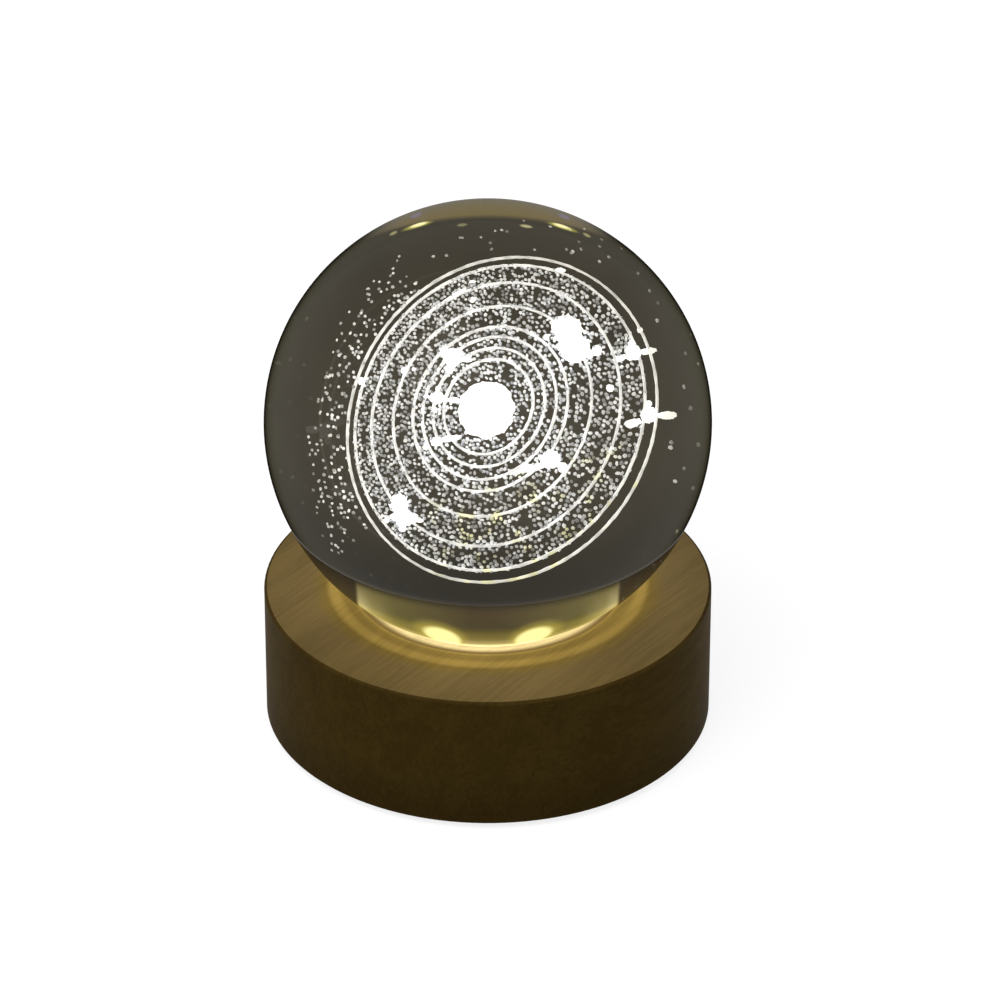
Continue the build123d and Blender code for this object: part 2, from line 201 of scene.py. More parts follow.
def fill(node, values):
    """Links the values that are sockets to a node's inputs and sets the others on them."""
    for key, value in values.items():
        socket = node.inputs[key]
        if is_socket(value):
            node.id_data.links.new(value, socket)
        else:
            socket.default_value = rgba(value) if socket.type == "RGBA" else value


def put(tree, kind, values=None, **settings):
    """Adds a node with its settings and the values of its inputs."""
    node = tree.nodes.new(kind)
    for key, value in settings.items():
        setattr(node, key, value)
    fill(node, values or {})
    return node


def feed(kind, values, out=0, **settings):
    """Adds a node to the tree of the first socket among its values; returns one of its outputs."""
    tree = next(value for value in values.values() if is_socket(value)).id_data
    return put(tree, kind, values, **settings).outputs[out]


def sums(operation, *values, clamp=False):
    """One Math node."""
    return feed("ShaderNodeMath", dict(enumerate(values)), operation=operation, use_clamp=clamp)


def times(product, *factors):
    """Product of all the values."""
    for factor in factors:
        product = sums("MULTIPLY", product, factor)
    return product


def reach_of(x, y):
    """Length of the line to a place given by two distances."""
    return sums("SQRT", sums("ADD", times(x, x), times(y, y)))


def minus(place, other):
    """Difference of two vectors."""
    return feed("ShaderNodeVectorMath", {0: place, 1: other}, operation="SUBTRACT")


def along_axis(place, axis):
    """Distance of a place along an axis."""
    return feed("ShaderNodeVectorMath", {0: place, 1: tuple(axis)}, "Value", operation="DOT_PRODUCT")


def scaled(parts, factor):
    """A vector or colour times a number."""
    return feed("ShaderNodeVectorMath", {0: parts, "Scale": factor}, operation="SCALE")


def split(place):
    """X, Y and Z of a place."""
    return feed("ShaderNodeSeparateXYZ", {0: place}).node.outputs


def vector(x=0.0, y=0.0, z=0.0):
    """A vector from three numbers."""
    return feed("ShaderNodeCombineXYZ", {0: x, 1: y, 2: z})


def spread(value, low, high, to_low=0.0, to_high=1.0, kind="SMOOTHSTEP"):
    """Maps a value softly from one range to another, clamped."""
    values = {"Value": value, "From Min": low, "From Max": high, "To Min": to_low, "To Max": to_high}
    return feed("ShaderNodeMapRange", values, interpolation_type=kind)


def linear(value, low, high, to_low=0.0, to_high=1.0):
    """Maps a value evenly from one range to another, clamped."""
    return spread(value, low, high, to_low, to_high, "LINEAR")


def fade(distance, low, high, to_low=0.0, to_high=1.0, kind="SMOOTHSTEP"):
    """Maps a distance softly between two places in millimetres."""
    return spread(distance, low * MM, high * MM, to_low, to_high, kind)


def ramped(distance, low, high):
    """Maps a distance evenly between two places in millimetres."""
    return fade(distance, low, high, kind="LINEAR")


def texture(place, scale, detail, out="Fac", **more):
    """Value of a noise texture."""
    return feed("ShaderNodeTexNoise", {"Vector": place, "Scale": scale, "Detail": detail, **more}, out)


def times_each(parts, factor):
    """Each part of a colour or a size times a number."""
    return [part * factor for part in parts]


def mixed(share, a, b, blend="MIX"):
    """Mixes two colours."""
    return feed("ShaderNodeMix", {0: share, 6: a, 7: b}, 2, data_type="RGBA", blend_type=blend)


def ramp(value, stops):
    """A colour ramp with the given (position, colour) stops."""
    colour = feed("ShaderNodeValToRGB", {0: value})
    elements = colour.node.color_ramp.elements
    while len(elements) < len(stops):
        elements.new(0.5)
    for element, (position, shade) in zip(elements, stops):
        element.position = position
        element.color = rgba(shade)
    return colour


def relief(height, strength, depth):
    """Normal of a fine relief, its depth in millimetres."""
    return feed("ShaderNodeBump", {"Height": height, "Strength": strength, "Distance": depth * MM})


def empty_tree(owner):
    """The emptied node tree of a material or a world."""
    owner.use_nodes = True
    owner.node_tree.nodes.clear()
    return owner.node_tree


def new_finish(name, fixed):
    """A material with one Principled shader and its fixed values; returns it, the shader and Object
    coordinates."""
    material = bpy.data.materials.new(name)
    tree = empty_tree(material)
    shader = put(tree, "ShaderNodeBsdfPrincipled", fixed)
    put(tree, "ShaderNodeOutputMaterial", {"Surface": shader.outputs["BSDF"]})
    return material, shader, put(tree, "ShaderNodeTexCoord").outputs["Object"]


NUMBERS = {float: "Float", int: "Int"}


def new_group(name, kind, inputs, outputs):
    """An empty node group, with each socket given by its kind or its default; returns the tree and the
    outputs of its inputs node."""
    tree = bpy.data.node_groups.new(name, kind)
    for direction, sockets in (("INPUT", inputs), ("OUTPUT", outputs)):
        for label, value in sockets.items():
            number = NUMBERS.get(type(value))
            item = tree.interface.new_socket(name=label, in_out=direction,
                                             socket_type="NodeSocket" + (number or value))
            if number:
                item.default_value = value
    return tree, tree.nodes.new("NodeGroupInput").outputs


# Shared effects


def speckle_group(name):
    """Fine mottling of colour and height for moulded, cast and coated surfaces."""
    tree, given = new_group(name, "ShaderNodeTree", {"Vector": "Vector", "Scale": 900.0, "Contrast": 0.5},
                            {"Mask": "Float", "Height": "Float"})
    fine = texture(given["Vector"], given["Scale"], 3.0)
    coarse = texture(given["Vector"], times(given["Scale"], 0.13), 2.0)
    both = sums("MULTIPLY_ADD", coarse, 0.5, times(fine, 0.5))
    mask = sums("MULTIPLY_ADD", sums("SUBTRACT", both, 0.5), given["Contrast"], 0.5, clamp=True)
    put(tree, "NodeGroupOutput", {"Mask": mask, "Height": fine})
    return tree


def wear_group(name):
    """Patches where handling has polished or paled a surface."""
    tree, given = new_group(name, "ShaderNodeTree", {"Vector": "Vector", "Scale": 120.0, "Coverage": 0.4},
                            {"Mask": "Float"})
    patches = texture(given["Vector"], given["Scale"], 5.0, Roughness=0.65)
    start = sums("SUBTRACT", 1.0, given["Coverage"])
    put(tree, "NodeGroupOutput", {"Mask": spread(patches, start, sums("ADD", start, 0.18))})
    return tree


def dust_group(name):
    """A thin film of dust on what faces up."""
    tree, given = new_group(name, "ShaderNodeTree", {"Vector": "Vector", "Amount": 0.1}, {"Mask": "Float"})
    up = split(put(tree, "ShaderNodeNewGeometry").outputs["Normal"])["Z"]
    loose = spread(texture(given["Vector"], 700.0, 4.0), 0.45, 0.75)
    mask = sums("MULTIPLY", times(loose, spread(up, 0.2, 0.9)), given["Amount"], clamp=True)
    put(tree, "NodeGroupOutput", {"Mask": mask})
    return tree


EFFECTS = {"Speckle": speckle_group, "Wear": wear_group, "Settled dust": dust_group}


def effect(name, place, **values):
    """Places a shared effect, which is built the first time."""
    group = bpy.data.node_groups.get(name) or EFFECTS[name](name)
    return put(place.id_data, "ShaderNodeGroup", {"Vector": place, **values}, node_tree=group).outputs


DUST_GREY = 0.45
WORN_SHARE = 0.72  # roughness of the worn patches, as a share of the rest


def moulded(name, dark, light, roughness, scale, bump=0.15, metallic=0.0, dust=0.05):
    """A finish with mottled colour, worn patches, a little dust and a fine relief."""
    material, shader, place = new_finish(name, {"Metallic": metallic})
    speckle = effect("Speckle", place, Scale=scale, Contrast=1.6)
    wear = effect("Wear", place, Coverage=0.35)["Mask"]
    settled = effect("Settled dust", place, Amount=dust)["Mask"]
    fill(shader, {
        "Base Color": mixed(settled, mixed(speckle["Mask"], dark, light), DUST_GREY),
        "Roughness": spread(wear, 0.0, 1.0, roughness, roughness * WORN_SHARE),
        "Normal": relief(speckle["Height"], bump, 0.05),
    })
    return material


def dress(node_names, material):
    """Gives CAD nodes a material."""
    for name in node_names:
        if name not in NODES:
            raise RuntimeError(f"there is no CAD node named {name}")
        for slot in NODES[name].material_slots:
            slot.material = material


# Meshes


def new_object(name, data):
    """Adds an object to the scene."""
    thing = bpy.data.objects.new(name, data)
    bpy.context.scene.collection.objects.link(thing)
    return thing


def new_piece(name, mesh, material, body, *replaced, slot=None, smooth=True):
    """Makes an object from a mesh that is already in place, and ties it to its body."""
    piece = new_object(name, mesh)
    mesh.materials.clear()
    mesh.materials.append(material)
    mesh.polygons.foreach_set("use_smooth", [smooth] * len(mesh.polygons))
    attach(piece, body)
    if replaced:
        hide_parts(*replaced)


def mesh_from(name, shape):
    """Turns a bmesh into a mesh and frees it."""
    mesh = bpy.data.meshes.new(name)
    shape.to_mesh(mesh)
    shape.free()
    return mesh


def points_mesh(name, places):
    """A mesh of single points."""
    mesh = bpy.data.meshes.new(name)
    mesh.from_pydata(places, [], [])
    return mesh


def grown(name, tree, mesh, values):
    """Runs a Geometry Nodes tree on a mesh and returns the result as a plain mesh."""
    seedling = new_object(name + "_seedling", mesh)
    modifier = seedling.modifiers.new(name, "NODES")
    modifier.node_group = tree
    for item in tree.interface.items_tree:
        if item.in_out == "INPUT" and item.name in values:
            modifier[item.identifier] = values[item.name]
    evaluated = seedling.evaluated_get(bpy.context.evaluated_depsgraph_get())
    result = bpy.data.meshes.new_from_object(evaluated)
    bpy.data.objects.remove(seedling)
    if not result.polygons:
        raise RuntimeError(f"the tree for {name} made no faces")
    result.name = name
    return result


def sphere_of_quads(centre, radius, divisions):
    """A ball of even quads with no poles."""
    shape = bmesh.new()
    bmesh.ops.create_cube(shape, size=2.0)
    bmesh.ops.subdivide_edges(shape, edges=shape.edges[:], cuts=divisions - 1, use_grid_fill=True)
    for vertex in shape.verts:
        x, y, z = vertex.co
        vertex.co = Vector((
            x * math.sqrt(1 - y * y / 2 - z * z / 2 + y * y * z * z / 3),
            y * math.sqrt(1 - z * z / 2 - x * x / 2 + z * z * x * x / 3),
            z * math.sqrt(1 - x * x / 2 - y * y / 2 + x * x * y * y / 3),
        )).normalized() * radius + centre
    bmesh.ops.recalc_face_normals(shape, faces=shape.faces[:])
    return shape


# Each layer of a lump's unevenness: its strength, its fineness and the step between two seeds
LUMP_LAYERS = (
    (1.0, 3.1, (7.3, 1.9, 4.7)),
    (0.5, 7.7, (2.3, 5.9, 1.7)),
    (0.3, 17.0, (3.7, 1.3, 6.1)),
)


def add_lump(shape, centre, size, tilt, detail, roughness, seed):
    """Adds one uneven blob in disc coordinates: an ellipsoid with the broken surface of laser points."""
    turned = Matrix.Rotation(tilt, 3, "Z")
    for vertex in bmesh.ops.create_icosphere(shape, subdivisions=detail, radius=1.0)["verts"]:
        direction = vertex.co.normalized()
        push = 0.0
        for strength, fineness, step in LUMP_LAYERS:
            push += strength * noise.noise(direction * fineness + Vector([seed * part for part in step]))
        broken = direction * (1.0 + roughness * push)
        vertex.co = turned @ Vector([part * half for part, half in zip(broken, size)]) + Vector(centre)


# Finishes


def spot(across, along, centre, half, edge=(1.25, 0.55)):
    """An oval mask around a place given by two distances; it fades between two shares of its size."""
    a = sums("DIVIDE", sums("SUBTRACT", across, centre[0]), half[0])
    b = sums("DIVIDE", sums("SUBTRACT", along, centre[1]), half[1])
    return spread(reach_of(a, b), *edge)


# Light low in the ball, seen in front and behind from low to high, and beside it from high to low
WINDOW_STOPS = (
    (0.0, (1.0, 0.84, 0.38)), (0.0875, (0.94, 0.78, 0.33)), (0.117, (0.50, 0.40, 0.14)),
    (0.196, (0.30, 0.25, 0.085)), (0.267, (0.152, 0.12, 0.019)), (0.346, (0.085, 0.071, 0.007)),
    (0.417, (0.055, 0.041, 0.0)), (0.479, (0.026, 0.018, 0.0)), (0.646, (0.037, 0.021, 0.0)),
    (0.746, (0.022, 0.012, 0.0)), (0.81, 0.0),
)
BESIDE_STOPS = ((0.0, 0.0), (0.35, (0.046, 0.030, 0.014)), (0.85, (0.115, 0.083, 0.036)))


def light_in_window(aside, along, height, facade):
    """The lit seat seen low through the ball: wide and bright in front and behind, narrower at the sides."""
    front = ramp(ramped(height, -34.0, -10.0), WINDOW_STOPS)
    corner = sums("MINIMUM", aside, along)
    down = ramped(height, -15.9, -25.2)
    for share, light in (
        (times(ramped(corner, 3.0, 19.0), fade(height, -14.2, -17.8)), (0.066, 0.062, 0.015)),
        (times(fade(corner, 15.5, 23.0), down), (0.25, 0.205, 0.085)),
        (times(fade(corner, 20.3, 22.6), down), (0.14, 0.125, 0.09)),
    ):
        front = mixed(1.0, front, mixed(share, 0.0, light), "ADD")
    outside = ramp(ramped(height, -14.2, -24.2), BESIDE_STOPS)
    return mixed(sums("MAXIMUM", facade, fade(along, 16.0, 17.5, 1.0, 0.0)), outside, front)


def lamp_images(settings, x, y, height, base):
    """Images of the lights low in the glass: two on each of the ball's four sides, each with a halo."""
    quarter = math.pi / 2
    turn = sums("ADD", sums("ARCTAN2", x, y), quarter / 2)
    folded = sums("ABSOLUTE", sums("SUBTRACT", sums("FLOORED_MODULO", turn, quarter), quarter / 2))

    def lit_spot(angle, level, half_angle, half_level, *edge):
        """A spot with its angle in degrees and its level in millimetres."""
        return spot(folded, height, (math.radians(angle), level * MM),
                    (math.radians(half_angle), half_level * MM), *edge)

    halo = times(lit_spot(16.6, -27.6, 9.0, 5.9), 0.6)
    image = lit_spot(16.2, -28.0, 6.8, 4.6, (1.12, 0.72))
    return mixed(image, mixed(halo, base, (0.50, 0.40, 0.05)), settings.lamp_image)


def glints(settings, x, y, height, glow):
    """Small glints beside the crown: four pairs, mirrored about the middle, and two single ones."""
    near_top = fade(height, 28.0, 30.0)
    pair = sums("ABSOLUTE", sums("SUBTRACT", x, 0.4 * MM))
    # Each glint: distance aside, colour, centre and half size in millimetres, strength
    for across, colour, centre, half, strength in (
        (pair, (0.44, 0.36, 0.58), (13.1, 10.0), (1.1, 1.8), 0.75),
        (pair, (0.62, 0.60, 0.10), (12.8, 3.7), (2.6, 1.0), 1.5),
        (pair, settings.glint, (12.6, 3.9), (1.6, 0.75), 3.0),
        (pair, settings.glint, (17.0, 4.0), (0.7, 0.8), 0.9),
        (x, settings.glint, (-4.5, 0.4), (0.9, 0.6), 0.45),
        (x, settings.glint, (6.7, 0.5), (1.1, 0.6), 0.95),
    ):
        mask = times(spot(across, y, times_each(centre, MM), times_each(half, MM)), near_top)
        glow = mixed(mask, glow, times_each(colour, strength))
    return glow


def glass_finish(settings):
    """Clear crystal with a dark tint and a darkening coat, both painted shade, and the light from the lamps
    below painted on its surface as glow.
    """
    material, shader, place = new_finish("crystal_glass", {
        "Transmission Weight": 1.0, "IOR": settings.ior, "Roughness": 0.0, "Base Color": settings.tint,
        "Specular Tint": settings.sheen_tint, "Coat Tint": settings.edge_shade_tint, "Coat Roughness": 0.0,
        "Coat IOR": 1.0, "Emission Strength": 1.0})
    local = minus(place, tuple(BALL_CENTRE))
    x, y, height = split(local)
    aside, along = sums("ABSOLUTE", x), sums("ABSOLUTE", y)
    facade = fade(aside, 22.7, 23.5, 1.0, 0.0)
    crown = times(
        spread(along_axis(local, CROWN_AXIS), BALL_RADIUS * 0.590, BALL_RADIUS * 0.650),
        fade(along_axis(local, CROWN_BACK), -8.0, 2.0),
        fade(height, 16.0, 25.0), fade(aside, 26.0, 13.0))

    # Painted light: a faint haze glow in the upper glass, broken up by noise
    painted_haze_noise = spread(texture(local, 60.0, 2.0), 0.3, 0.7, 0.8, 1.2)
    upper = times(fade(height, -15.0, 4.0), fade(height, -12.0, 20.0, 0.66, 1.0))
    glow = mixed(crown, mixed(times(upper, painted_haze_noise), 0.0, settings.haze), settings.crown_glow)
    glow = glints(settings, x, y, height, glow)
    low_light = lamp_images(settings, x, y, height, light_in_window(aside, along, height, facade))
    inner_side = put(material.node_tree, "ShaderNodeNewGeometry").outputs["Backfacing"]
    # Painted shade: the coat darkens the glass toward its outline everywhere but the low window in front and
    # behind, and a little less under the crown glow
    beside_window = times(sums("SUBTRACT", 1.0, facade), 0.72)
    cover = sums("MAXIMUM", fade(height, -17.6, -14.0), beside_window)
    fill(shader, {
        "Emission Color": mixed(inner_side, mixed(1.0, glow, low_light, "ADD"), 0.0),
        "Coat Weight": times(cover, spread(crown, 0.0, 1.0, 1.0, 0.80)),
    })
    return material


def engraving_finish(settings):
    """White burnt-in points that scatter the lamp's light, warmer low in the disc; one finish for all."""
    if ENGRAVING in bpy.data.materials:
        return bpy.data.materials[ENGRAVING]
    material, shader, place = new_finish(
        ENGRAVING, {"Roughness": 0.8, "Emission Strength": settings.brightness})
    local = minus(place, tuple(DISC_CENTRE))
    low = fade(along_axis(local, DISC_UP), -3.0, -15.0)
    inward = fade(along_axis(local, DISC_RIGHT), -13.0, -4.0)
    spotty = spread(texture(place, 520.0, 1.0), 0.54, 0.66)
    colour = mixed(times(low, inward, spotty), settings.white, settings.cream)
    spark = put(material.node_tree, "ShaderNodeAttribute", attribute_name="spark").outputs["Fac"]
    fill(shader, {"Base Color": colour, "Emission Color": scaled(colour, linear(spark, 0.0, 1.0, 1.0, 0.02))})
    return material


def mapped(place, **values):
    """Turned or stretched coordinates."""
    return feed("ShaderNodeMapping", {"Vector": place, **values})


def wood_finish(settings):
    """Dark oiled wood with straight grain; the top face and the seat carry the lamp's glow."""
    material, shader, place = new_finish("oiled_wood", {"Emission Strength": 1.0, "Specular IOR Level": 0.02})
    turned = mapped(place, Rotation=(0.0, 0.0, math.radians(-54.0)))
    long_grain = mapped(turned, Scale=(0.06, 1.0, 0.7))
    fibres = texture(long_grain, 1500.0, 5.0, Roughness=0.6, Distortion=0.3)
    bands = texture(long_grain, 230.0, 3.0, Distortion=0.8)
    pores = spread(texture(mapped(turned, Scale=(0.12, 1.0, 1.0)), 2600.0, 2.0), 0.36, 0.30)
    share = spread(sums("MULTIPLY_ADD", fibres, 0.55, times(bands, 0.45)), 0.40, 0.60)
    colour = mixed(times(pores, 0.5), mixed(share, settings.dark, settings.light), (0.012, 0.007, 0.002))
    x, y, height = split(place)
    foot_shade = spread(height, BASE_LOW.z, BASE_LOW.z + 12.0 * MM, 0.72, 1.0)

    reach = reach_of(x, y)
    flat_top = times(spread(height, BASE_HIGH.z - 0.3 * MM, BASE_HIGH.z - 0.1 * MM),
                     spread(reach, BASE_RADIUS - 0.42 * MM, BASE_RADIUS - 0.62 * MM))
    # Rings of light on the top face, from the ball outwards: where, and how strong
    beside_ball = ((0.0, 1.95), (0.035, 1.7), (0.075, 1.08), (0.14, 1.0), (0.205, 1.5), (0.265, 1.45),
                   (0.325, 0.72))
    near_rim = ((0.48, 1.25), (0.97, 1.0))
    ring = ramp(ramped(reach, 24.0, 41.0), [
        (where, times_each(light, strength))
        for light, rings in ((settings.glow_ring, beside_ball), (settings.glow_rim, near_rim))
        for where, strength in rings])
    uneven = linear(sums("COSINE", times(sums("ARCTAN2", x, y), 4.0)), -1.0, 1.0, 0.86, 1.04)
    streaks = linear(share, 0.0, 1.0, 0.90, 1.08)
    on_top = mixed(flat_top, 0.0, scaled(ring, times(uneven, streaks)))
    seat = times(fade(reach, 24.6, 24.4), fade(height, 13.0, 15.4))
    well = scaled(tuple(settings.glow_well), times(streaks, fade(reach, 15.5, 22.5, 0.42, 1.0)))
    wear = effect("Wear", place, Scale=90.0, Coverage=0.45)["Mask"]
    fill(shader, {
        "Base Color": scaled(colour, foot_shade),
        "Emission Color": mixed(seat, on_top, mixed(fade(reach, 24.0, 21.5), settings.glow_lip, well)),
        "Roughness": spread(wear, 0.0, 1.0, 0.62, 0.5),
        "Normal": relief(sums("SUBTRACT", fibres, pores), 0.25, 0.06),
    })
    return material


# Geometry Nodes trees


def piece_tree(name, inputs):
    """A Geometry Nodes tree that takes the given inputs and a material; returns the tree and its inputs."""
    inputs = {"Geometry": "Geometry", **inputs, "Material": "Material"}
    return new_group(name, "GeometryNodeTree", inputs, {"Geometry": "Geometry"})


def made_real(geometry):
    """Instances turned into real geometry."""
    return feed("GeometryNodeRealizeInstances", {0: geometry})


def end_tree(tree, given, geometry):
    """Ends a tree with real geometry in the given material."""
    values = {"Geometry": made_real(geometry), "Material": given["Material"]}
    put(tree, "NodeGroupOutput", {0: feed("GeometryNodeSetMaterial", values)})
    return tree


def instances(points, instance, **values):
    """A copy of a shape on each point."""
    return feed("GeometryNodeInstanceOnPoints", {"Points": points, "Instance": instance, **values})


def moved(geometry, offset):
    """Points moved by an offset of their own."""
    return feed("GeometryNodeSetPosition", {"Geometry": geometry, "Offset": offset})


def raised(geometry, height):
    """A shape moved up."""
    return feed("GeometryNodeTransform", {"Geometry": geometry, "Translation": vector(z=height)})


def turned_round(angle):
    """A rotation about the upright axis."""
    return feed("FunctionNodeEulerToRotation", {0: vector(z=angle)})


def sparked(geometry, value):
    """Geometry with the brightness of each point stored in it."""
    return feed("GeometryNodeStoreNamedAttribute", {"Geometry": geometry, "Name": "spark", "Value": value},
                data_type="FLOAT", domain="POINT")


def orbit_tree():
    """Orbit lines: a slightly uneven round wire on a circle for each point's reach."""
    tree, given = piece_tree("Orbit lines", {"Line radius": 0.0001, "Wobble": 0.00005})
    circle = put(tree, "GeometryNodeCurvePrimitiveCircle", {"Resolution": 360, "Radius": 1.0}).outputs[0]
    reach = put(tree, "GeometryNodeInputNamedAttribute", {"Name": "reach"}, data_type="FLOAT").outputs[0]
    circles = made_real(instances(given["Geometry"], circle, Scale=vector(reach, reach, 1.0)))
    where = put(tree, "GeometryNodeInputPosition").outputs[0]
    tremor = minus(texture(where, 900.0, 1.0, "Color"), (0.5, 0.5, 0.5))
    girth = linear(texture(where, 1400.0, 0.0), 0.0, 1.0, 0.7, 1.3)
    wire = feed("GeometryNodeCurveToMesh", {
        "Curve": moved(circles, scaled(tremor, given["Wobble"])), "Scale": girth,
        "Profile Curve": feed("GeometryNodeCurvePrimitiveCircle",
                              {"Resolution": 6, "Radius": given["Line radius"]})})
    beads = linear(texture(where, 650.0, 1.0), 0.40, 0.66, 0.20, 0.50)
    return end_tree(tree, given, sparked(made_real(wire), beads))


def box_of(size):
    """A box of the given size."""
    return feed("GeometryNodeMeshCube", {"Size": size})


def screw_tree():
    """Screws, head down: a tapered head with a cross recess, a threaded shank and a pointed end."""
    lengths = ("Low radius", "High radius", "Head height", "Shank radius", "Shank length", "Tip length",
               "Recess width", "Recess depth", "Thread pitch")
    tree, given = piece_tree("Cross screws", {name: 1.0 * MM for name in lengths})

    def cone(low, high, depth, vertices):
        values = {"Vertices": vertices, "Radius Bottom": low, "Radius Top": high, "Depth": depth}
        return feed("GeometryNodeMeshCone", values)

    def cylinder(radius, depth):
        return feed("GeometryNodeMeshCylinder", {"Vertices": 20, "Radius": radius, "Depth": depth})

    width, pitch, length = given["Recess width"], given["Thread pitch"], given["Shank length"]
    across, deep = times(given["Low radius"], 1.15), times(given["Recess depth"], 2.0)
    cross = put(tree, "GeometryNodeMeshBoolean", operation="UNION", solver="EXACT")
    for size in ((across, width, deep), (width, across, deep)):
        fill(cross, {1: box_of(vector(*size))})
    head = cone(given["Low radius"], given["High radius"], given["Head height"], 32)
    cut = feed("GeometryNodeMeshBoolean", {0: head, 1: cross.outputs[0]},
               operation="DIFFERENCE", solver="EXACT")

    start = times(given["Head height"], 0.98)
    end = sums("ADD", start, length)
    core_radius = times(given["Shank radius"], 0.82)
    core = raised(cylinder(core_radius, length), times(sums("ADD", start, end), 0.5))
    tip = raised(cone(core_radius, 0.0, given["Tip length"], 20), end)
    heights = feed("GeometryNodeMeshLine", {
        "Count": sums("FLOOR", sums("DIVIDE", length, pitch)),
        "Start Location": vector(z=sums("ADD", start, pitch)), "Offset": vector(z=pitch)}, mode="OFFSET")
    rim = cylinder(given["Shank radius"], times(pitch, 0.3))
    thread = instances(heights, rim, Rotation=(math.radians(6), 0.0, 0.0))
    whole = put(tree, "GeometryNodeJoinGeometry")
    for part in (cut, core, tip, thread):
        fill(whole, {0: part})
    twist = put(tree, "FunctionNodeRandomValue", {2: 0.0, 3: math.pi}, data_type="FLOAT").outputs[1]
    placed = instances(given["Geometry"], whole.outputs[0], Rotation=turned_round(twist))
    return end_tree(tree, given, placed)


def contact_tree():
    """A row of flat contacts, one on each point."""
    tree, given = piece_tree("Contacts", {"Size": "Vector"})
    return end_tree(tree, given, instances(given["Geometry"], box_of(given["Size"])))


GRAIN_INPUTS = {
    "Inner reach": 0.004, "Outer reach": 0.02, "Thickness": 0.0005, "Dot radius": 0.0002, "Longest": 1.5,
    "Least fade": 0.0, "Most fade": 1.0, "Seed": 1,
}


def chance(given, low, high, step):
    """A random number for each point; the step moves the seed on, so that each choice is its own."""
    values = {2: low, 3: high, "Seed": sums("ADD", given["Seed"], float(step))}
    return feed("FunctionNodeRandomValue", values, 1, data_type="FLOAT")


def depth_of(given):
    """Place of a grain through the thickness of the disc."""
    return times(chance(given, -0.5, 0.5, 3), given["Thickness"])


def grains(tree, given, points):
    """An uneven grain on each point, brighter or dimmer by chance; ends the tree."""
    lit = sparked(points, chance(given, given["Least fade"], given["Most fade"], 5))
    grain = put(tree, "GeometryNodeMeshUVSphere", {"Segments": 5, "Rings": 3, "Radius": 1.0}).outputs[0]
    long_way = times(given["Dot radius"], chance(given, 0.8, given["Longest"], 6))
    short_way = times(given["Dot radius"], chance(given, 0.7, 1.1, 7))
    facing = turned_round(chance(given, 0.0, math.tau, 8))
    placed = instances(lit, grain, Rotation=facing, Scale=vector(long_way, short_way, short_way))
    return end_tree(tree, given, placed)


def compared(a, b, operation):
    """Whether one number is more or less than another."""
    return feed("FunctionNodeCompare", {0: a, 1: b}, operation=operation)


def judged(a, b, operation):
    """Whether both or either of two conditions hold."""
    return feed("FunctionNodeBooleanMath", {0: a, 1: b}, operation=operation)


def dust_tree():
    """Engraved dust: grains no closer than a spacing in a ring, thinned out between winding strands."""
    tree, given = piece_tree("Engraved dust", {
        "Spacing": 0.0005, "Strand scale": 900.0, "Strand width": 0.1, "Strays": 0.1, **GRAIN_INPUTS})
    spacing = given["Spacing"]
    disc = feed("GeometryNodeMeshCircle", {"Vertices": 96, "Radius": given["Outer reach"]}, fill_type="NGON")
    points = feed("GeometryNodeDistributePointsOnFaces", {
        "Mesh": disc, "Distance Min": spacing, "Density Max": sums("DIVIDE", 5.0, times(spacing, spacing)),
        "Seed": given["Seed"]}, distribute_method="POISSON")
    where = put(tree, "GeometryNodeInputPosition").outputs[0]
    central = compared(feed("ShaderNodeVectorMath", {0: where}, "Value", operation="LENGTH"),
                       given["Inner reach"], "LESS_THAN")
    aside = sums("ABSOLUTE", sums("SUBTRACT", texture(where, given["Strand scale"], 0.0), 0.5))
    off_strand = compared(aside, given["Strand width"], "GREATER_THAN")
    not_stray = compared(chance(given, 0.0, 1.0, 4), given["Strays"], "GREATER_THAN")
    gone = judged(judged(off_strand, not_stray, "AND"), central, "OR")
    kept = feed("GeometryNodeDeleteGeometry", {"Geometry": points, "Selection": gone}, domain="POINT")
    return grains(tree, given, moved(kept, vector(z=depth_of(given))))


def stars_tree():
    """Engraved stars: grains scattered between two turns of a ring."""
    tree, given = piece_tree("Engraved stars", {
        "Count": 1000, "Turn from": 0.0, "Turn to": math.tau, "Crowding": 1.0, **GRAIN_INPUTS})
    outward = sums("POWER", chance(given, 0.0, 1.0, 1), given["Crowding"])
    inner, outer = (times(given[name], given[name]) for name in ("Inner reach", "Outer reach"))
    reach = sums("SQRT", linear(outward, 0.0, 1.0, inner, outer))
    turn = chance(given, given["Turn from"], given["Turn to"], 2)
    x, y = (times(reach, sums(operation, turn)) for operation in ("COSINE", "SINE"))
    values = {"Count": given["Count"], "Position": vector(x, y, depth_of(given))}
    return grains(tree, given, feed("GeometryNodePoints", values))


# Operators


class CRYSTAL_OT_ball(bpy.types.Operator):
    """Makes the glass ball."""

    bl_idname = "crystal.ball"
    bl_label = "Glass Ball"

    def execute(self, context):
        settings = context.scene.lamp_ball
        mesh = mesh_from("glass_ball", sphere_of_quads(BALL_CENTRE, BALL_RADIUS, settings.divisions))
        new_piece("glass_ball", mesh, glass_finish(settings), "ball", "crystal_ball", slot="crystal")
        return {"FINISHED"}


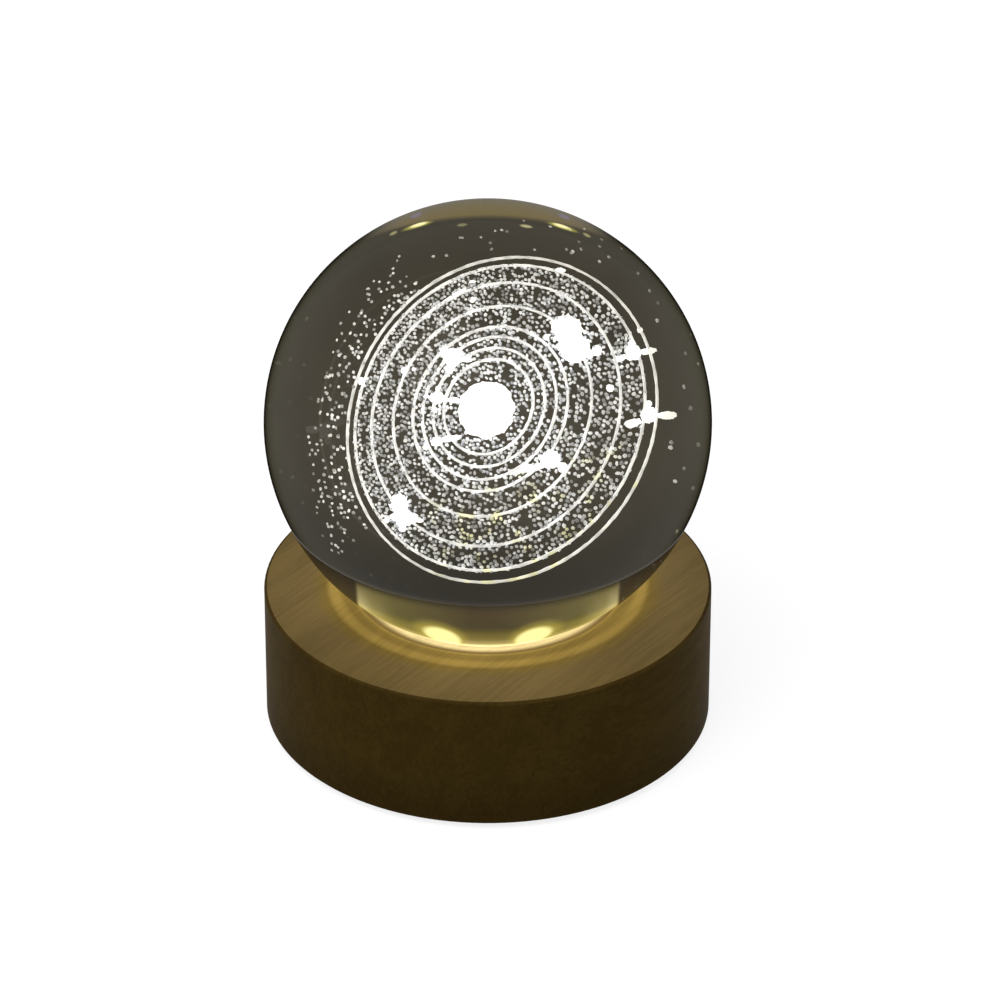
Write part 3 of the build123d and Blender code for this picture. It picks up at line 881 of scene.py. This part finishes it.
class CRYSTAL_OT_orbits(bpy.types.Operator):
    """Draws the orbit lines in the glass."""

    bl_idname = "crystal.orbits"
    bl_label = "Orbit Lines"

    wobble = 0.10 * MM
    line_depth = 1.8  # depth of a line into the disc, as a share of its width

    def execute(self, context):
        settings = context.scene.lamp_engraving
        finish = engraving_finish(settings)
        mesh = points_mesh("orbit_points", [(*drift(share), 0.0) for share in ORBIT_SHARES])
        reach = mesh.attributes.new("reach", "FLOAT", "POINT")
        reach.data.foreach_set("value", [ORBIT_REACH * share for share in ORBIT_SHARES])
        lines = grown("orbit_lines", orbit_tree(), mesh, {
            "Line radius": settings.line_radius, "Wobble": self.wobble, "Material": finish})
        lines.transform(DISC_MATRIX @ Matrix.Diagonal((1.0, 1.0, self.line_depth, 1.0)))
        new_piece("orbit_lines", lines, finish, "ball", "engraved_orbits", slot="engraving")
        return {"FINISHED"}


class CRYSTAL_OT_dust(bpy.types.Operator):
    """Scatters the engraved dust between the orbits and the stars around them."""

    bl_idname = "crystal.dust"
    bl_label = "Engraved Dust"

    def execute(self, context):
        settings = context.scene.lamp_engraving
        finish = engraving_finish(settings)
        star_growth = stars_tree()
        stars = {"Dot radius": settings.star_radius, "Thickness": 3.0 * MM, "Longest": 1.25,
                 "Inner reach": 21.4 * MM}
        kinds = {
            "engraved_dust": (dust_tree(), {
                "Spacing": settings.dot_spacing, "Inner reach": SUN_RADIUS, "Outer reach": 19.2 * MM,
                "Thickness": 0.15 * MM, "Dot radius": 1.2 * settings.dot_radius, "Longest": 1.4,
                "Strand scale": 700.0, "Strand width": 0.10, "Strays": 0.72, "Least fade": 0.42,
                "Most fade": 0.97, "Seed": settings.seed}),
            "engraved_stars": (star_growth, {
                **stars, "Count": settings.star_count, "Outer reach": 29.0 * MM, "Crowding": 1.6,
                "Least fade": 0.13, "Most fade": 0.92, "Turn from": math.radians(112),
                "Turn to": math.radians(214), "Seed": settings.seed}),
            "engraved_far_stars": (star_growth, {
                **stars, "Count": settings.star_count // 5, "Outer reach": 28.0 * MM, "Least fade": 0.4,
                "Most fade": 0.93, "Turn from": math.radians(-48), "Turn to": math.radians(112),
                "Seed": settings.seed + 20}),
        }
        for name, (tree, values) in kinds.items():
            mesh = grown(name, tree, bpy.data.meshes.new(name + "_seed"), {**values, "Material": finish})
            mesh.transform(DISC_MATRIX)
            new_piece(name, mesh, finish, "ball", slot="engraving", smooth=False)
        return {"FINISHED"}


class CRYSTAL_OT_bodies(bpy.types.Operator):
    """Makes the sun, the planets and the streaks beside them."""

    bl_idname = "crystal.bodies"
    bl_label = "Sun and Planets"

    lump_share = 0.86
    sun_share = 0.93
    sun_depth = 0.8
    sun_roughness, lump_roughness, spark_roughness = 0.10, 0.34, 0.4
    sun_shift = Vector((-0.3, -0.5)) * MM
    # Each lump: orbit, sideways and upward offset, half length and half width in millimetres, tilt in degrees
    planets = (
        (0, -1.2, 0.4, 0.95, 0.85, -13), (0, -1.0, 1.6, 0.30, 0.30, 0), (0, -1.7, -1.0, 0.35, 0.35, 0),
        (1, -0.8, 0.8, 0.80, 0.60, -13), (1, -2.3, 0.5, 0.40, 0.40, 0), (2, -0.7, -0.5, 1.35, 1.15, -13),
        (2, -1.9, 0.9, 0.50, 0.50, 0), (2, -1.2, -2.1, 0.60, 0.60, 0), (3, 0.8, 0.0, 1.20, 1.10, -13),
        (3, 2.1, -1.2, 0.60, 0.60, 0), (3, -3.5, -0.7, 0.35, 0.35, 0), (4, -0.3, 1.0, 1.90, 1.90, 0),
        (4, 0.1, -1.5, 2.00, 1.90, -13), (4, 2.8, -2.6, 0.65, 0.65, 0), (4, 1.8, -2.8, 0.60, 0.60, 0),
        (4, -3.0, 0.7, 0.40, 0.40, 0), (5, -0.2, 0.9, 1.30, 1.30, 0), (5, -2.2, -0.9, 0.40, 0.40, 0),
        (5, 0.0, -2.2, 0.50, 0.50, 0), (6, -0.5, 0.1, 1.00, 0.95, -13), (6, -0.4, 1.2, 0.45, 0.45, 0),
        (7, -0.8, 0.2, 0.95, 0.90, -13), (7, -0.6, 1.4, 0.40, 0.40, 0),
    )
    streaks = (
        (0, -2.7, 1.0, 0.57, 0.22, -21), (0, 1.1, -0.5, 1.07, 0.40, -18), (1, 1.0, 0.8, 1.75, 0.42, -6),
        (2, 1.2, -1.5, 1.01, 0.35, -17), (3, -1.7, -0.5, 2.06, 0.50, -2), (5, 0.4, -0.9, 2.12, 1.05, -13),
        (5, 2.6, -1.6, 0.67, 0.30, -13), (6, 1.2, -0.2, 1.10, 0.42, -6), (6, -2.1, -0.2, 0.86, 0.40, 1),
        (7, 1.1, -0.3, 1.12, 0.48, -13), (7, -2.6, -0.3, 1.02, 0.50, 1),
    )
    # Each spark: reach in millimetres and angle on the disc, half length and half width, tilt
    sparks = (
        (19.6, 155.0, 0.5, 0.5, 0), (13.3, 144.0, 0.45, 0.42, 0), (12.0, 141.0, 0.26, 0.25, 0),
        (19.5, 52.0, 0.62, 0.3, -24), (16.6, 100.0, 1.9, 0.22, 16), (15.3, -5.0, 0.42, 0.4, 0),
        (20.4, 13.0, 0.32, 0.3, 0), (14.8, 91.0, 0.42, 0.36, 0), (17.6, 90.0, 0.5, 0.2, -10),
    )

    def toward(self, angle):
        turn = math.radians(angle)
        return math.cos(turn), math.sin(turn)

    def lumps(self, rows, spots, detail):
        shape = bmesh.new()
        for index, (orbit, right, up, length, width, tilt) in enumerate(rows):
            x, y = spots[orbit]
            half_length, half_width = self.lump_share * length * MM, self.lump_share * width * MM
            add_lump(shape, (x + right * MM, y + up * MM, 0.0), (half_length, half_width, half_width),
                     math.radians(tilt), detail, self.lump_roughness, index + 1)
        return shape

    def execute(self, context):
        finish = engraving_finish(context.scene.lamp_engraving)
        spots = [Vector(self.toward(angle)) * ORBIT_REACH * share + drift(share)
                 for share, angle in zip(ORBIT_SHARES, PLANET_ANGLES)]
        sun = bmesh.new()
        half = self.sun_share * SUN_RADIUS
        add_lump(sun, (*(drift(0.0) + self.sun_shift), 0.0), (half, half, self.sun_depth * half),
                 0.0, 5, self.sun_roughness, 3)
        planets = self.lumps(self.planets, spots, 4)
        streaks = self.lumps(self.streaks, spots, 3)
        for index, (reach, angle, length, width, tilt) in enumerate(self.sparks):
            x, y = self.toward(angle)
            add_lump(streaks, (reach * MM * x, reach * MM * y, 0.0), (length * MM, width * MM, width * MM),
                     math.radians(tilt), 3, self.spark_roughness, index + 31)
        for name, shape, replaced in (("sun_points", sun, "engraved_sun"),
                                      ("planet_points", planets, "engraved_planets"),
                                      ("streak_points", streaks, "engraved_streaks")):
            mesh = mesh_from(name, shape)
            mesh.transform(DISC_MATRIX)
            new_piece(name, mesh, finish, "ball", replaced, slot="engraving")
        return {"FINISHED"}


class CRYSTAL_OT_base(bpy.types.Operator):
    """Finishes the turned wooden base."""

    bl_idname = "crystal.base"
    bl_label = "Wooden Base"

    def execute(self, context):
        dress(["wooden_base"], wood_finish(context.scene.lamp_wood))
        return {"FINISHED"}


class CRYSTAL_OT_window(bpy.types.Operator):
    """Finishes the clear window over the lights."""

    bl_idname = "crystal.window"
    bl_label = "Clear Window"

    def execute(self, context):
        material, shader, place = new_finish("clear_acrylic", {"Transmission Weight": 1.0, "IOR": 1.49})
        haze = effect("Speckle", place, Scale=400.0, Contrast=0.8)["Mask"]
        fill(shader, {"Roughness": spread(haze, 0.0, 1.0, 0.08, 0.22), "Base Color": mixed(haze, 0.92, 0.99)})
        dress(["clear_window"], material)
        return {"FINISHED"}


class CRYSTAL_OT_boards(bpy.types.Operator):
    """Finishes the two circuit boards, what they carry and the wires between them."""

    bl_idname = "crystal.boards"
    bl_label = "Boards and Wires"

    def execute(self, context):
        # Each finish: its nodes, its name, dark and light colour, roughness, fineness and relief
        for nodes, *finish in (
            (["led_board"], "white_solder_mask", 0.72, 0.80, 0.35, 1200.0, 0.08),
            (["led_packages"], "led_housing", 0.70, 0.78, 0.4, 2500.0, 0.05),
            (["control_board"], "green_solder_mask", (0.010, 0.075, 0.025), (0.018, 0.12, 0.04), 0.3, 700.0),
            (["driver_chip", "usb_tongue"], "epoxy", 0.018, 0.035, 0.5, 3000.0, 0.2),
            (["current_resistors"], "resistor_body", 0.02, 0.05, 0.35, 3000.0),
            (["storage_capacitor"], "aluminium_can", 0.55, 0.66, 0.3, 1500.0, 0.05, 1.0),
            (["switch_body"], "switch_plastic", 0.02, 0.03, 0.45, 1800.0),
            (["switch_plunger"], "plunger_plastic", 0.5, 0.58, 0.4, 1800.0),
            (["red_wire"], "red_sheath", (0.42, 0.012, 0.010), (0.55, 0.02, 0.016), 0.38, 1400.0),
            (["black_wire"], "black_sheath", 0.012, 0.022, 0.38, 1400.0),
        ):
            dress(nodes, moulded(*finish))
        phosphor, shader, place = new_finish(
            "phosphor", {"Emission Strength": context.scene.lamp_hardware.lamp_strength})
        grain = effect("Speckle", place, Scale=6000.0, Contrast=1.2)["Mask"]
        colour = mixed(grain, (1.0, 0.66, 0.25), (1.0, 0.80, 0.42))
        fill(shader, {"Base Color": colour, "Emission Color": colour})
        dress(["led_phosphors"], phosphor)
        return {"FINISHED"}


class CRYSTAL_OT_hardware(bpy.types.Operator):
    """Finishes the inlet, the button, the cover and the feet."""

    bl_idname = "crystal.hardware"
    bl_label = "Inlet, Button and Cover"

    def execute(self, context):
        # Each finish: its node, its name, dark and light colour, roughness, fineness, relief, metal and dust
        for node, *finish in (
            ("usb_shell", "inlet_steel", 0.52, 0.62, 0.28, 1600.0, 0.05, 1.0),
            ("button_cap", "button_plastic", 0.016, 0.026, 0.34, 1500.0, 0.1),
            ("bottom_cover", "cover_plastic", 0.014, 0.024, 0.55, 1300.0, 0.35),
            ("rubber_feet", "foot_rubber", 0.012, 0.022, 0.85, 900.0, 0.3, 0.0, 0.15),
        ):
            dress([node], moulded(*finish))
        return {"FINISHED"}


class CRYSTAL_OT_screws(bpy.types.Operator):
    """Makes the three kinds of screw, with cross recesses and threads."""

    bl_idname = "crystal.screws"
    bl_label = "Screws"

    # Each kind in millimetres: head radius below and above, head height, shank radius, recess width,
    # thread pitch
    kinds = {
        "cover_screws": (2.4, 1.3, 1.4, 1.3, 0.62, 0.9),
        "led_board_screws": (1.55, 1.8, 1.2, 0.9, 0.5, 0.6),
        "control_board_screws": (1.55, 1.8, 1.2, 0.9, 0.5, 0.6),
    }

    def places(self, node, bottom, head_reach):
        """Centres of the heads: middles of the separate solids of the CAD node, seen from below."""
        near = [v.co for v in NODES[node].data.vertices if v.co.z < bottom + 0.05 * MM]
        centres = []
        while near:
            group = [co for co in near if (co.xy - near[0].xy).length < head_reach]
            near = [co for co in near if (co.xy - near[0].xy).length >= head_reach]
            centres.append([(min(places) + max(places)) / 2 for places in zip(*(co.xy for co in group))])
        if not centres:
            raise RuntimeError(f"no screw heads were found on {node}")
        return centres

    def execute(self, context):
        settings = context.scene.lamp_hardware
        steel = moulded("zinc_steel", 0.42, 0.56, 0.33, 1400.0, 0.08, 1.0)
        tree = screw_tree()
        for node, sizes in self.kinds.items():
            low_radius, high_radius, head, shank, recess, pitch = times_each(sizes, MM)
            bottom, top = (corner.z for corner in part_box(node))
            tip = shank * 1.1
            centres = self.places(node, bottom, max(low_radius, high_radius) * 2.2)
            mesh = points_mesh(node + "_points", [(x, y, bottom + head / 2) for x, y in centres])
            screws = grown(node + "_detailed", tree, mesh, {
                "Low radius": low_radius, "High radius": high_radius, "Head height": head,
                "Shank radius": shank, "Shank length": top - bottom - head - tip, "Tip length": tip,
                "Recess width": recess, "Recess depth": settings.recess_depth, "Thread pitch": pitch,
                "Material": steel})
            new_piece(node + "_detailed", screws, steel, "base", node, slot="screw_steel", smooth=False)
        return {"FINISHED"}


class CRYSTAL_OT_contacts(bpy.types.Operator):
    """Lays the gold contacts on both faces of the inlet's tongue."""

    bl_idname = "crystal.contacts"
    bl_label = "Inlet Contacts"

    thickness = 0.08 * MM

    def execute(self, context):
        count = context.scene.lamp_hardware.contact_count
        low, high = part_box("usb_tongue")
        pitch = (high.x - low.x) / (count + 1)
        mesh = points_mesh("contact_points", [
            (low.x + pitch * (index + 1), (low.y + high.y) / 2, z)
            for index in range(count) for z in (low.z, high.z)])
        gold = moulded("contact_gold", (0.75, 0.50, 0.18), (0.85, 0.60, 0.25), 0.25, 3000.0, 0.03, 1.0)
        contacts = grown("usb_contacts", contact_tree(), mesh, {
            "Size": (pitch * 0.5, (high.y - low.y) * 0.8, self.thickness), "Material": gold})
        new_piece("usb_contacts", contacts, gold, "base", slot="usb_steel", smooth=False)
        return {"FINISHED"}


class CRYSTAL_OT_stage(bpy.types.Operator):
    """Sets up the floor, the light and the camera."""

    bl_idname = "crystal.stage"
    bl_label = "Studio"

    lamp_place = Vector((-0.35, -0.45, 1.0))
    lamp_size = 0.8
    paper_grey = 0.30
    paper_light = 0.82  # how white the paper looks to the camera

    def shown(self, tree):
        """1 where the camera, a reflection or a view through glass meets the surface."""
        rays = put(tree, "ShaderNodeLightPath").outputs
        return sums("MAXIMUM", rays["Is Camera Ray"],
                    sums("MAXIMUM", rays["Is Glossy Ray"], rays["Is Transmission Ray"]))

    def lamp(self, aim, power):
        light = bpy.data.lights.new("key_lamp", "AREA")
        light.shape = "DISK"
        light.size = self.lamp_size
        light.energy = power
        lamp = new_object("key_lamp", light)
        lamp.location = self.lamp_place
        lamp.rotation_euler = (aim - self.lamp_place).to_track_quat("-Z", "Y").to_euler()

    def floor(self, size):
        shape = bmesh.new()
        bmesh.ops.create_grid(shape, x_segments=1, y_segments=1, size=size / 2)
        material = bpy.data.materials.new("studio_floor")
        tree = empty_tree(material)
        paper = put(tree, "ShaderNodeBsdfDiffuse", {"Color": self.paper_grey}).outputs[0]
        strength = times(self.shown(tree), self.paper_light)
        white = feed("ShaderNodeEmission", {"Color": 1.0, "Strength": strength})
        put(tree, "ShaderNodeOutputMaterial", {"Surface": feed("ShaderNodeAddShader", {0: paper, 1: white})})
        mesh = mesh_from("studio_floor", shape)
        mesh.materials.append(material)
        floor = new_object("studio_floor", mesh)

    def world(self, ambient):
        world = bpy.data.worlds.new("studio_world")
        tree = empty_tree(world)
        strength = linear(self.shown(tree), 0.0, 1.0, ambient, 1.0)
        sky = feed("ShaderNodeBackground", {"Color": 1.0, "Strength": strength})
        put(tree, "ShaderNodeOutputWorld", {"Surface": sky})
        bpy.context.scene.world = world

    def execute(self, context):
        settings = context.scene.lamp_stage
        aim = Vector((0.0, 0.0, settings.aim_height))
        self.floor(settings.floor_size)
        self.world(settings.ambient)
        self.lamp(aim, settings.key_power)
        lens = bpy.data.cameras.new("photo_camera")
        lens.sensor_width = 36.0
        lens.lens = settings.lens
        lens.shift_x = settings.shift_x
        lens.shift_y = settings.shift_y
        camera = new_object("photo_camera", lens)
        away = Vector((0.0, -math.cos(settings.elevation), math.sin(settings.elevation)))
        camera.location = aim + away * settings.distance
        camera.rotation_euler = (math.pi / 2 - settings.elevation, 0.0, 0.0)
        context.scene.camera = camera
        context.scene.view_settings.view_transform = "Standard"
        return {"FINISHED"}


OPERATORS = (
    CRYSTAL_OT_ball,
    CRYSTAL_OT_orbits,
    CRYSTAL_OT_dust,
    CRYSTAL_OT_bodies,
    CRYSTAL_OT_base,
    CRYSTAL_OT_window,
    CRYSTAL_OT_boards,
    CRYSTAL_OT_hardware,
    CRYSTAL_OT_screws,
    CRYSTAL_OT_contacts,
    CRYSTAL_OT_stage,
)


class CRYSTAL_PT_panel(bpy.types.Panel):
    """Lists the steps that build the lamp."""

    bl_idname = "CRYSTAL_PT_panel"
    bl_label = "Crystal Ball Lamp"
    bl_space_type = "VIEW_3D"
    bl_region_type = "UI"
    bl_category = "Crystal Lamp"

    def draw(self, context):
        column = self.layout.column()
        for operator in OPERATORS:
            column.operator(operator.bl_idname)
        for name, group in GROUPS.items():
            box = column.box()
            box.label(text=group.__doc__)
            for key in group.__annotations__:
                box.prop(getattr(context.scene, name), key)


CLASSES = (*GROUPS.values(), *OPERATORS, CRYSTAL_PT_panel)


def register():
    for cls in CLASSES:
        bpy.utils.register_class(cls)
    for name, group in GROUPS.items():
        setattr(bpy.types.Scene, name, PointerProperty(type=group))


def unregister():
    for name in GROUPS:
        delattr(bpy.types.Scene, name)
    for cls in reversed(CLASSES):
        bpy.utils.unregister_class(cls)


def main():
    register()
    for operator in OPERATORS:
        area, step = operator.bl_idname.split(".")
        getattr(getattr(bpy.ops, area), step)()


if __name__ == "__main__":
    main()
